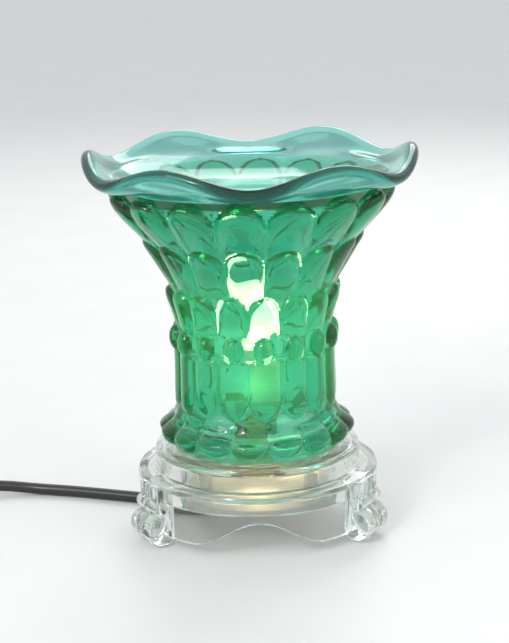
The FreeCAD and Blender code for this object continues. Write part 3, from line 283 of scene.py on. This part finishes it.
def dome(across, along):
    """The height of a round bulge at a place inside it, and nothing outside it."""
    return math.sqrt(max(0.0, 1 - across ** 2 - along ** 2))


def off_column(turn, shift):
    """How far a turn is from the middle of the nearest column, in columns."""
    return (turn - shift + 0.5) % 1 - 0.5


def shade_relief(turn, high):
    """How far the pattern stands out at a turn counted in columns and a height."""
    reliefs = [0.0]
    for shift, head, foot, out, tall in RIBS:
        along = (high - foot) / (head - foot)
        if 0 < along < 1:
            rounding = max(0.0, 1 - abs(head - high) / tall)
            reliefs.append(out * along * dome(off_column(turn, shift) / RIB_HALF, rounding))
    lower = off_column(turn, LOWER_TURN)
    reliefs.append(BEAD_OUT * dome(lower / BEAD_WIDE, (high - BEAD_MIDDLE) / BEAD_TALL))
    below = (FLUTE_LOW + FLUTE_ROUND - high) / FLUTE_ROUND
    above = (high - FLUTE_TOP + FLUTE_END) / FLUTE_END
    reliefs.append(FLUTE_OUT * dome(lower / RIB_HALF, max(0.0, below, above)))
    for middle, half, out in RINGS:
        reliefs.append(out * dome(0.0, (high - middle) / half))
    return max(reliefs)


def shade_section(share):
    """Up the patterned outside, over the mouth, and down the plain inside."""
    turn = share * COLUMNS
    drop = SHADE_WALL * MOUTH_SLOPE
    points = []
    for j in range(SHADE_OUTER_ROWS + 1):
        high = SHADE_LOW + (SHADE_TOP - SHADE_LOW) * j / SHADE_OUTER_ROWS
        points.append((smooth_line(SHADE_LINE, high) + shade_relief(turn, high), high))
    for j in range(SHADE_INNER_ROWS, -1, -1):
        high = SHADE_LOW + (SHADE_TOP - drop - SHADE_LOW) * j / SHADE_INNER_ROWS
        wall = SHADE_WALL * smooth_line(WALL_SHARES, j / SHADE_INNER_ROWS)
        points.append((smooth_line(SHADE_LINE, high) - wall, high))
    return points


def make_shade(material):
    shade = swept("shade_glass", shade_section, COLUMNS * STEPS_PER_COLUMN, closed=True)
    shade.data.materials.append(material)
    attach(shade, "shade")
    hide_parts("shade")


# Dish

WAVES, WAVE_START, STEPS_PER_WAVE = 6, 0.5, 40
LIP_RADIUS, LIP_HIGH, LIP_ROUND = 70.6 * MM, 165.1 * MM, 2.72 * MM
DISH_HALF_WALL, RUFFLE_TALL = 1.8 * MM, 3.6 * MM
BOWL_LINE = [(r * MM, z * MM) for r, z in (
    (0.0, 149.2), (22.0, 149.2), (30.0, 149.5), (40.0, 150.5), (50.0, 153.6), (56.0, 157.1), (61.0, 159.5),
    (66.0, 161.5), (70.6, 165.1))]
THICK_FROM, RUFFLE_FROM = 61.0 * MM, 60.5 * MM
DISH_ROWS, LIP_STEPS, LIP_START, SLOPE_STEP = 40, 12, 0.33, 0.0004


def ease(low, high, at):
    """From nothing at low to one at high, level at both ends."""
    u = min(1.0, max(0.0, (at - low) / (high - low)))
    return u * u * (3 - 2 * u)


def dish_section(share):
    """From the middle out below, round the lip, and back in above."""
    wave = RUFFLE_TALL * math.cos(2 * math.pi * (share * WAVES + WAVE_START))
    below, above = [], []
    for i in range(DISH_ROWS):
        radius = LIP_RADIUS * i / DISH_ROWS
        rise = smooth_line(BOWL_LINE, radius + SLOPE_STEP) - smooth_line(BOWL_LINE, radius - SLOPE_STEP)
        slope = rise / 2 / SLOPE_STEP
        lean = math.hypot(1, slope)
        middle = smooth_line(BOWL_LINE, radius) + wave * ease(RUFFLE_FROM, LIP_RADIUS, radius)
        off = DISH_HALF_WALL + (LIP_ROUND - DISH_HALF_WALL) * ease(THICK_FROM, LIP_RADIUS, radius)
        below.append((radius + off * slope / lean if i else 0.0, middle - off / lean))
        above.append((radius - off * slope / lean if i else 0.0, middle + off / lean))
    bend = []
    for i in range(LIP_STEPS + 1):
        angle = math.pi * (i / LIP_STEPS - LIP_START)
        bend.append((LIP_RADIUS + LIP_ROUND * math.cos(angle), LIP_HIGH + wave + LIP_ROUND * math.sin(angle)))
    return below + bend + above[::-1]


def make_dish(material):
    dish = swept("dish_glass", dish_section, WAVES * STEPS_PER_WAVE, closed=False)
    dish.data.materials.append(material)
    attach(dish, "dish")
    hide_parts("dish")


# Base: the round tiers and the arched apron are one skin, to which the legs are joined.

APRON_LOW, ARCH_HIGH, ARCH_HALF, APRON_RADIUS = 4.6 * MM, 16.0 * MM, 31.5 * MM, 52.8 * MM
LEGS, BASE_STEPS = 3, 360
BASE_SMOOTH = math.radians(35)
# The leg at the back: its post, the grooves in it, and its rolls, each with its height, its reach from
# the lamp's axis, its radius and its width.
POST_WIDE, POST_DEEP, POST_TALL = 17 * MM, 9.6 * MM, 24.4 * MM
POST_REACH, POST_MIDDLE, POST_ROUND = 51.2 * MM, 15.2 * MM, 1.2 * MM
GROOVE_APART, GROOVE_RADIUS, GROOVE_LONG = 5.0 * MM, 2.2 * MM, 30 * MM
GROOVE_REACH, GROOVE_MIDDLE = 57.4 * MM, 15 * MM
ROLLS = [[value * MM for value in roll] for roll in ((8.0, 53.8, 6.9, 19.4), (18.0, 54.4, 3.1, 18.6))]
ROLL_ROUND = 0.28
BOSS_RADIUS, BOSS_TALL, BOSS_REACH, BOSS_MIDDLE = 3.4 * MM, 17.4 * MM, 27 * MM, 26.2 * MM


def apron_edge(share):
    """The height of the apron's lower edge: low beside the legs and raised in the middle of each side."""
    turn = (share * LEGS + 0.5) % 1 - 0.5
    across = abs(turn) / LEGS * 2 * math.pi * APRON_RADIUS
    return ARCH_HIGH - (ARCH_HIGH - APRON_LOW) * ease(0, ARCH_HALF, across)


def base_section(share):
    """From the hole in the deck over both tiers, round the apron's edge, and back in below."""
    edge = apron_edge(share)
    low = edge + 0.5 * MM
    return [(r * MM, z * MM) for r, z in (
        (5.05, 38.0), (30.4, 38.0), (30.6, 40.4), (31.4, 40.6), (32.2, 40.4), (32.4, 38.0), (34.0, 37.9),
        (44.6, 37.9), (45.5, 37.6), (45.9, 36.9), (46.0, 36.0), (46.0, 29.6), (46.3, 28.8), (47.0, 28.5),
        (52.6, 28.5), (53.4, 28.2), (53.8, 27.6), (54.0, 26.8), (54.0, 21.6), (53.8, 20.9), (53.4, 20.6),
        (52.8, 20.0))] + [
        (52.8 * MM, low + 1.5 * MM), (52.6 * MM, low), (51.9 * MM, edge), (50.7 * MM, edge), (50.0 * MM, low),
        (49.8 * MM, low + 1.5 * MM)] + [(r * MM, z * MM) for r, z in (
            (49.8, 22.0), (49.5, 24.6), (48.5, 25.0), (42.6, 25.0), (42.5, 25.4), (42.4, 34.0), (41.8, 34.5),
            (36.4, 34.5), (36.0, 34.0), (36.0, 15.4), (35.6, 15.0), (33.4, 15.0), (33.0, 15.4), (33.0, 34.0),
            (32.6, 34.5), (5.05, 34.5))]


def make_leg():
    """One leg at the back: a fluted post with a rolled foot and a small roll above it."""
    deselect()
    bpy.ops.mesh.primitive_cube_add(
        size=1, location=(0, POST_REACH, POST_MIDDLE), scale=(POST_WIDE, POST_DEEP, POST_TALL))
    post = bpy.context.object
    bpy.ops.object.transform_apply(location=True, rotation=True, scale=True)
    bpy.ops.object.mode_set(mode="EDIT")
    bpy.ops.mesh.bevel(offset=POST_ROUND, segments=3, affect="EDGES")
    bpy.ops.object.mode_set(mode="OBJECT")
    for i in (-1, 0, 1):
        cut_groove(post, i * GROOVE_APART)
    rolls = []
    for high, reach, radius, wide in ROLLS:
        deselect()
        bpy.ops.mesh.primitive_cylinder_add(
            vertices=28, radius=radius, depth=wide, location=(0, reach, high), rotation=(0, math.pi / 2, 0))
        roll = bpy.context.object
        bpy.ops.object.transform_apply(location=True, rotation=True, scale=True)
        round_ends(roll, wide / 2, radius * ROLL_ROUND)
        rolls.append(roll)
    for roll in rolls:
        merge(post, roll, "UNION")
    return post


def round_ends(roll, reach, offset):
    """Rounds the two rims of a roll that lies along X."""
    close = 1e-5
    for edge in roll.data.edges:
        ends = [roll.data.vertices[i].co.x for i in edge.vertices]
        edge.select = abs(abs(ends[0]) - reach) < close and abs(ends[0] - ends[1]) < close
    for face in roll.data.polygons:
        face.select = False
    bpy.ops.object.mode_set(mode="EDIT")
    bpy.ops.mesh.bevel(offset=offset, segments=3, affect="EDGES", clamp_overlap=True)
    bpy.ops.object.mode_set(mode="OBJECT")


def cut_groove(post, across):
    """A round groove down the outer face of the post."""
    deselect()
    bpy.ops.mesh.primitive_cylinder_add(
        vertices=20, radius=GROOVE_RADIUS, depth=GROOVE_LONG, location=(across, GROOVE_REACH, GROOVE_MIDDLE))
    cutter = bpy.context.object
    bpy.ops.object.transform_apply(location=True, rotation=True, scale=True)
    merge(post, cutter, "DIFFERENCE")


def merge(whole, tool, operation):
    """Joins a tool to a piece, or cuts it away, and removes the tool."""
    deselect()
    whole.select_set(True)
    bpy.context.view_layer.objects.active = whole
    change = whole.modifiers.new("merge", "BOOLEAN")
    change.operation = operation
    change.solver = "EXACT"
    change.object = tool
    bpy.ops.object.modifier_apply(modifier=change.name)
    bpy.data.objects.remove(tool)


def make_base(material):
    """The skin, its three legs, and the three bosses for the cover's screws."""
    base = swept("base_moulding", base_section, BASE_STEPS, closed=True)
    leg = make_leg()
    for i in range(LEGS):
        copy = leg.copy()
        copy.data = leg.data.copy()
        bpy.context.collection.objects.link(copy)
        copy.data.transform(Matrix.Rotation(2 * math.pi * i / LEGS, 4, "Z"))
        merge(base, copy, "UNION")
    for i in range(LEGS):
        angle = math.pi / LEGS + 2 * math.pi * i / LEGS
        deselect()
        bpy.ops.mesh.primitive_cylinder_add(
            vertices=32, radius=BOSS_RADIUS, depth=BOSS_TALL,
            location=(BOSS_REACH * math.sin(angle), -BOSS_REACH * math.cos(angle), BOSS_MIDDLE))
        boss = bpy.context.object
        bpy.ops.object.transform_apply(location=True, rotation=True, scale=True)
        merge(base, boss, "UNION")
    bpy.data.objects.remove(leg)
    deselect()
    base.select_set(True)
    bpy.context.view_layer.objects.active = base
    bpy.ops.object.shade_smooth_by_angle(angle=BASE_SMOOTH)
    base.data.materials.clear()
    base.data.materials.append(material)
    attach(base, "base")
    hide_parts("base")


# Cord

CORD_WIDTH = 5.2 * MM
CORD_ROUTE = [(-19.05, 11.0, 19.3), (-19.05, 11.0, 2.65), (-36.0, 18.0, 2.65), (-61.0, 27.4, 2.65),
              (-87.0, 36.8, 2.65), (-106.0, 42.0, 2.65), (-126.0, 42.0, 5.2), (-146.0, 42.0, 5.2)]
LINK_ROUTE = [(-214.0, 42.0, 5.2), (-238.0, 42.0, 5.2), (-253.5, 24.0, 2.65), (-251.5, 8.0, 3.95),
              (-251.5, -14.8, 3.95)]
COIL_MIDDLE = (-212.0, -20.0)
COIL_OUTER, COIL_STEP, COIL_LOW, COIL_HIGH = 39.5, 6.4, 3.95, 9.65
TURN_POINTS, TURNS_IN, TURNS_OUT = 24, 3, 2.75
END_STRAIGHTS = (0.0, 5.2, 20.8)


def coil_points():
    """Three turns in on the table, half a turn up, then the rest outward on top, in millimetres."""
    points = []
    swell = 1 / math.cos(math.pi / TURN_POINTS)
    drift = COIL_STEP / 8
    x, y = COIL_MIDDLE

    def add(middle_x, middle_y, radius, turn, high):
        angle = 2 * math.pi * turn
        across, back = radius * swell * math.cos(angle), radius * swell * math.sin(angle)
        points.append((middle_x + across, middle_y + back, high))

    for i in range(1, TURNS_IN * TURN_POINTS):
        part = i / TURN_POINTS
        add(x + drift, y - drift, COIL_OUTER + drift - COIL_STEP * part, 0.5 + part, COIL_LOW)
    inner = COIL_OUTER - TURNS_IN * COIL_STEP
    half = TURN_POINTS // 2
    for i in range(half + 1):
        add(x, y, inner, 0.5 + i / TURN_POINTS, COIL_LOW + (COIL_HIGH - COIL_LOW) * ease(0, half, i))
    for i in range(1, int(TURNS_OUT * TURN_POINTS) + 1):
        part = i / TURN_POINTS
        add(x - drift, y - drift, inner + drift + COIL_STEP * part, part, COIL_HIGH)
    return points[:-1] + [(x + reach, y - COIL_OUTER, COIL_HIGH) for reach in END_STRAIGHTS]


def make_cord(name, points, material, nodes, **facts):
    deselect()
    bpy.ops.curve.primitive_nurbs_path_add()
    item = bpy.context.object
    item.name = name
    item.data.splines.clear()
    line = item.data.splines.new("NURBS")
    line.points.add(len(points) - 1)
    for point, place in zip(line.points, points):
        point.co = (*[value * MM for value in place], 1)
    line.order_u = 3
    line.use_endpoint_u = True
    line.resolution_u = 6
    item.data.dimensions = "3D"
    item.data.bevel_depth = CORD_WIDTH / 2
    item.data.bevel_resolution = 5
    item.data.use_fill_caps = True
    item.data.materials.append(material)
    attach(item, "base")
    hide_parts(*nodes)
    return item


def make_cords(material):
    dimmer = [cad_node(name) for name in (
        "dimmer_base", "dimmer_cover", "dimmer_wheel", "dimmer_circuit", "dimmer_screws", "cord_reliefs")]
    plug = [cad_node(name) for name in ("coil_tie", "plug_body", "plug_blades")]
    make_cord("cord_to_dimmer", CORD_ROUTE, material, ["cord"], length=0.144, far_end="fitting", lay="loose",
              with_pieces=dimmer)
    make_cord("cord_to_plug", LINK_ROUTE + coil_points(), material, ["cord_link", "cord_coil"], length=1.270,
              far_end="plug", lay="coiled", with_pieces=plug)


# Floor, light and background


def make_floor():
    deselect()
    bpy.ops.mesh.primitive_plane_add(size=40)
    floor = bpy.context.object
    floor.name = "floor"
    material, nodes, links, shader = new_material("pale_floor")
    noise = bumped(nodes, links, shader, 20.0, 0.02, 0.0005)
    varied(nodes, links, noise, shader.inputs["Base Color"], (0.78, 0.78, 0.77, 1), (0.80, 0.80, 0.79, 1))
    shader.inputs["Roughness"].default_value = 0.55
    floor.data.materials.append(material)


def make_world():
    """A soft light all round, which looks paler where it is seen straight, in a mirror or through glass."""
    world = bpy.data.worlds.new("studio")
    bpy.context.scene.world = world
    world.use_nodes = True
    nodes, links = world.node_tree.nodes, world.node_tree.links
    nodes.clear()
    soft, pale = nodes.new("ShaderNodeBackground"), nodes.new("ShaderNodeBackground")
    soft.inputs["Color"].default_value = (0.85, 0.87, 0.90, 1)
    soft.inputs["Strength"].default_value = 0.85
    pale.inputs["Color"].default_value = (0.86, 0.86, 0.86, 1)
    pale.inputs["Strength"].default_value = 1.06
    path = nodes.new("ShaderNodeLightPath")
    seen = nodes.new("ShaderNodeMath")
    seen.operation = "MAXIMUM"
    also = nodes.new("ShaderNodeMath")
    also.operation = "MAXIMUM"
    links.new(path.outputs["Is Camera Ray"], seen.inputs[0])
    links.new(path.outputs["Is Glossy Ray"], seen.inputs[1])
    links.new(seen.outputs[0], also.inputs[0])
    links.new(path.outputs["Is Transmission Ray"], also.inputs[1])
    mix, output = nodes.new("ShaderNodeMixShader"), nodes.new("ShaderNodeOutputWorld")
    links.new(also.outputs[0], mix.inputs["Fac"])
    links.new(soft.outputs["Background"], mix.inputs[1])
    links.new(pale.outputs["Background"], mix.inputs[2])
    links.new(mix.outputs["Shader"], output.inputs["Surface"])


LOOK_HIGH = 0.09


def area_light(name, place, size, power):
    """A soft studio lamp that looks at the middle of the warmer."""
    bpy.ops.object.light_add(type="AREA", location=place)
    light = bpy.context.object
    light.name = name
    light.data.size = size
    light.data.energy = power
    light.rotation_euler = (Vector((0, 0, LOOK_HIGH)) - Vector(place)).to_track_quat("-Z", "Y").to_euler()


# The lamps round the axis stand for the light that the shade sends back: their reach and height in
# millimetres, their power in watts, and whether they spare the lamp holder, which they would bleach.
GLOW_RINGS = ((24.0, 72.0, 0.024, True), (24.0, 72.0, 0.006, False), (20.0, 25.0, 0.010, False))
BULB_GLOW = (0.0, 0.0, 101.0, 0.09, False)
GLOW_COLOR, GLOW_SIZE = (1.0, 0.72, 0.40), 0.004


def make_lamp_light():
    """The glow of the lit bulb, and the light that the shade sends back inside it."""
    kept_cream = bpy.data.collections.new("kept_cream")
    kept_cream.objects.link(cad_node("lamp_holder"))
    kept_cream.collection_objects[0].light_linking.link_state = "EXCLUDE"
    spots = [BULB_GLOW]
    for reach, high, power, spares in GLOW_RINGS:
        for turn in (0, 120, 240):
            angle = math.radians(turn)
            spots.append((reach * math.sin(angle), -reach * math.cos(angle), high, power, spares))
    for x, y, z, power, spares in spots:
        bpy.ops.object.light_add(type="POINT", location=(x * MM, y * MM, z * MM))
        light = bpy.context.object
        light.name = "bulb_glow"
        light.data.energy = power
        light.data.shadow_soft_size = GLOW_SIZE
        light.data.color = GLOW_COLOR
        light.visible_transmission = False
        light.visible_glossy = False
        if spares:
            light.light_linking.receiver_collection = kept_cream


# Putting it together

make_camera()
make_cords(twin_cord("black_cord"))
make_shade(deep_glass("shade_green_glass", (0.90, 0.99, 0.95), (0.80, 0.97, 0.90), (0.20, 0.85, 0.74), 330.0,
                      (0.30, 0.80, 0.45), 0.10, wave=0.35))
make_dish(deep_glass("dish_teal_glass", (0.90, 0.98, 0.96), (0.84, 0.95, 0.93), (0.08, 0.74, 0.68), 190.0,
                     (0.22, 0.55, 0.50), 0.12, rough=0.08))
make_base(deep_glass("base_clear_glass", (0.98, 0.99, 0.99), (0.95, 0.97, 0.97), (0.60, 0.75, 0.72), 14.0,
                     (0.92, 0.90, 0.80), 0.06, rough=0.02, wave=0.2))

steel = solid("plated_steel", (0.62, 0.62, 0.60), (0.70, 0.70, 0.68), 0.28, metal=1.0, grain=600.0)
brass = solid("brass", (0.72, 0.55, 0.26), (0.80, 0.64, 0.34), 0.25, metal=1.0, grain=700.0)
ceramic = solid("glazed_ceramic", (0.86, 0.80, 0.66), (0.90, 0.85, 0.74), 0.22, grain=250.0, coat=0.5)
frosted = solid("frosted_cover", (0.74, 0.76, 0.75), (0.80, 0.81, 0.80), 0.5, grain=500.0)
rubber = solid("black_rubber", (0.015, 0.015, 0.015), (0.028, 0.027, 0.026), 0.5, grain=1200.0)
pad = solid("soft_pad", (0.66, 0.68, 0.66), (0.74, 0.75, 0.73), 0.45, grain=800.0)
switch = solid("switch_shell", (0.018, 0.018, 0.019), (0.03, 0.03, 0.031), 0.35, grain=900.0, strength=0.3)
wheel = solid("ribbed_wheel", (0.20, 0.20, 0.20), (0.27, 0.27, 0.27), 0.5, grain=900.0)
board = solid("circuit_lacquer", (0.03, 0.20, 0.09), (0.05, 0.26, 0.12), 0.35, grain=400.0)
fibre = solid("fibre_sleeve", (0.78, 0.76, 0.70), (0.86, 0.85, 0.80), 0.7, grain=2500.0, strength=0.5)
core = solid("core_insulation", (0.16, 0.07, 0.035), (0.20, 0.09, 0.05), 0.45, grain=900.0)
bulb = glass("bulb_glass", (0.99, 0.99, 0.97), (0.97, 0.97, 0.94), rough=0.0, ior=1.45, wave=0.02)
lit(bulb, (1.0, 0.56, 0.22, 1), 1.7)
filament = glowing("hot_filament", (1.0, 0.64, 0.26, 1), 36.0)

FINISHES = {
    "foot_pads": pad, "cover_plate": frosted, "cover_screws": steel, "cord_grommet": rubber,
    "threaded_tube": brass, "tube_nuts": brass, "tube_washer": steel, "holder_bracket": steel,
    "lamp_holder": ceramic, "holder_screws": steel, "holder_contacts": brass, "bulb_envelope": bulb,
    "bulb_filament": filament, "bulb_pins": steel, "lead_wires": fibre, "wire_splices": fibre,
    "cord_cores": core, "coil_tie": rubber, "dimmer_base": switch, "dimmer_cover": switch,
    "dimmer_wheel": wheel, "dimmer_circuit": board, "dimmer_screws": steel, "cord_reliefs": rubber,
    "plug_body": rubber, "plug_blades": brass,
}
for name, material in FINISHES.items():
    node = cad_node(name)
    node.data.materials.clear()
    node.data.materials.append(material)
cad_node("bulb_envelope").visible_shadow = False

make_floor()
make_world()
area_light("key", (-0.7, -0.8, 0.9), 0.7, 6.0)
area_light("fill", (0.9, -0.6, 0.6), 0.9, 2.5)
area_light("rim", (0.2, 0.9, 0.8), 0.6, 4.0)
area_light("accent", (-0.45, -0.75, 0.65), 0.14, 1.6)
make_lamp_light()
bpy.context.scene.view_settings.view_transform = "Standard"
paths = bpy.context.scene.cycles
paths.max_bounces = 24
paths.glossy_bounces = 12
paths.transmission_bounces = 24
